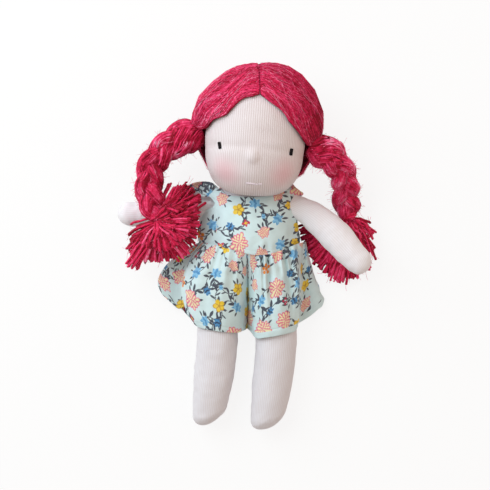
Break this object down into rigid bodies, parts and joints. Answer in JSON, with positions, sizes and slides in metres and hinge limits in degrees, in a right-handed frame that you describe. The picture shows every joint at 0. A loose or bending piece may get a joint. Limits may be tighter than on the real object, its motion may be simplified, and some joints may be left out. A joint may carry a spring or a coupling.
{
  "type": "stuffed cloth doll",
  "caption": "Stuffed cloth doll with turning head, soft jointed arms and legs, plaited yarn hair and a removable floral romper, lying on its back.",
  "frame": {"origin": "the lowest surface of the romper's back, under the middle of the chest: the face that the doll lies on", "axes": "+Y runs along the body from the feet to the crown, +Z out of the face and chest, +X to the doll's own left"},
  "size_m": [0.1854, 0.2562, 0.0744],
  "materials": {
    "torso_skin": "soft ribbed cotton doll knit, faint pink blush on the cheeks",
    "torso_wool": "matt carded wool",
    "romper_front": "thin plain-woven cotton with a floral print",
    "romper_back_right": "thin plain-woven cotton with a floral print",
    "romper_back_left": "thin plain-woven cotton with a floral print",
    "romper_leg_right": "thin plain-woven cotton with a floral print",
    "romper_leg_left": "thin plain-woven cotton with a floral print",
    "closure_loop_strip": "hook and loop tape",
    "closure_hook_strip": "hook and loop tape",
    "head_skin": "soft ribbed cotton doll knit, faint pink blush on the cheeks",
    "head_wool": "matt carded wool",
    "eye_line_thread": "matt cotton thread",
    "neck_tie": "matt cotton thread",
    "nose_bead": "matt carded wool",
    "eye_right": "near-black brown embroidery thread",
    "eye_left": "near-black brown embroidery thread",
    "mouth_stitch": "pale lilac embroidery thread",
    "hair_right": "fuzzy crimson mohair yarn",
    "hair_left": "fuzzy crimson mohair yarn",
    "parting_thread": "fuzzy crimson mohair yarn",
    "hair_bunch_right": "fuzzy crimson mohair yarn",
    "plait_right_strand_1": "fuzzy crimson mohair yarn",
    "plait_right_strand_2": "fuzzy crimson mohair yarn",
    "plait_right_strand_3": "fuzzy crimson mohair yarn",
    "plait_tie_right": "fuzzy crimson mohair yarn",
    "tassel_right": "fuzzy crimson mohair yarn",
    "hair_bunch_left": "fuzzy crimson mohair yarn",
    "plait_left_strand_1": "fuzzy crimson mohair yarn",
    "plait_left_strand_2": "fuzzy crimson mohair yarn",
    "plait_left_strand_3": "fuzzy crimson mohair yarn",
    "plait_tie_left": "fuzzy crimson mohair yarn",
    "tassel_left": "fuzzy crimson mohair yarn",
    "arm_right_skin": "soft ribbed cotton doll knit, faint pink blush on the cheeks",
    "arm_right_wool": "matt carded wool",
    "arm_left_skin": "soft ribbed cotton doll knit, faint pink blush on the cheeks",
    "arm_left_wool": "matt carded wool",
    "leg_right_skin": "soft ribbed cotton doll knit, faint pink blush on the cheeks",
    "leg_right_wool": "matt carded wool",
    "leg_left_skin": "soft ribbed cotton doll knit, faint pink blush on the cheeks",
    "leg_left_wool": "matt carded wool"
  },
  "bodies": {
    "torso": {"torso_skin": "torso_skin", "torso_wool": "torso_wool", "romper_front": "romper_front", "romper_back_right": "romper_back_right", "romper_back_left": "romper_back_left", "romper_leg_right": "romper_leg_right", "romper_leg_left": "romper_leg_left", "closure_loop_strip": "closure_loop_strip", "closure_hook_strip": "closure_hook_strip"},
    "head": {"head_skin": "head_skin", "head_wool": "head_wool", "eye_line_thread": "eye_line_thread", "neck_tie": "neck_tie", "nose_bead": "nose_bead", "eye_right": "eye_right", "eye_left": "eye_left", "mouth_stitch": "mouth_stitch", "hair_right": "hair_right", "hair_left": "hair_left", "parting_thread": "parting_thread"},
    "plait_right": {"hair_bunch_right": "hair_bunch_right", "plait_right_strand_1": "plait_right_strand_1", "plait_right_strand_2": "plait_right_strand_2", "plait_right_strand_3": "plait_right_strand_3", "plait_tie_right": "plait_tie_right", "tassel_right": "tassel_right"},
    "plait_left": {"hair_bunch_left": "hair_bunch_left", "plait_left_strand_1": "plait_left_strand_1", "plait_left_strand_2": "plait_left_strand_2", "plait_left_strand_3": "plait_left_strand_3", "plait_tie_left": "plait_tie_left", "tassel_left": "tassel_left"},
    "arm_right": {"arm_right_skin": "arm_right_skin", "arm_right_wool": "arm_right_wool"},
    "arm_left": {"arm_left_skin": "arm_left_skin", "arm_left_wool": "arm_left_wool"},
    "leg_right": {"leg_right_skin": "leg_right_skin", "leg_right_wool": "leg_right_wool"},
    "leg_left": {"leg_left_skin": "leg_left_skin", "leg_left_wool": "leg_left_wool"}
  },
  "joints": [
    {"name": "head_turn", "type": "hinge", "parent": "torso", "child": "head", "pos_m": [0.0023, 0.0588, 0.04], "axis": [0.017, 0.9218, 0.3872], "range_deg": [0, 20]},
    {"name": "plait_right_lift", "type": "hinge", "parent": "head", "child": "plait_right", "pos_m": [-0.0419, 0.0608, 0.038], "axis": [-1, 0, 0], "range_deg": [0, 45]},
    {"name": "plait_left_swing", "type": "hinge", "parent": "head", "child": "plait_left", "pos_m": [0.0452, 0.0492, 0.04], "axis": [0, 0, 1], "range_deg": [0, 30]},
    {"name": "arm_right_swing", "type": "hinge", "parent": "torso", "child": "arm_right", "pos_m": [-0.0302, 0.0106, 0.0099], "axis": [0, 0, 1], "range_deg": [-28, 18]},
    {"name": "arm_left_lift", "type": "hinge", "parent": "torso", "child": "arm_left", "pos_m": [0.0342, 0.0096, 0.021], "axis": [-0.7006, -0.7135, 0], "range_deg": [0, 50]},
    {"name": "leg_right_lift", "type": "hinge", "parent": "torso", "child": "leg_right", "pos_m": [-0.0242, -0.055, 0.0176], "axis": [-1, 0, 0], "range_deg": [0, 90], "deforming": ["romper_leg_right"]},
    {"name": "leg_left_lift", "type": "hinge", "parent": "torso", "child": "leg_left", "pos_m": [0.0173, -0.055, 0.0176], "axis": [-1, 0, 0], "range_deg": [0, 90], "deforming": ["romper_leg_left"]}
  ]
}
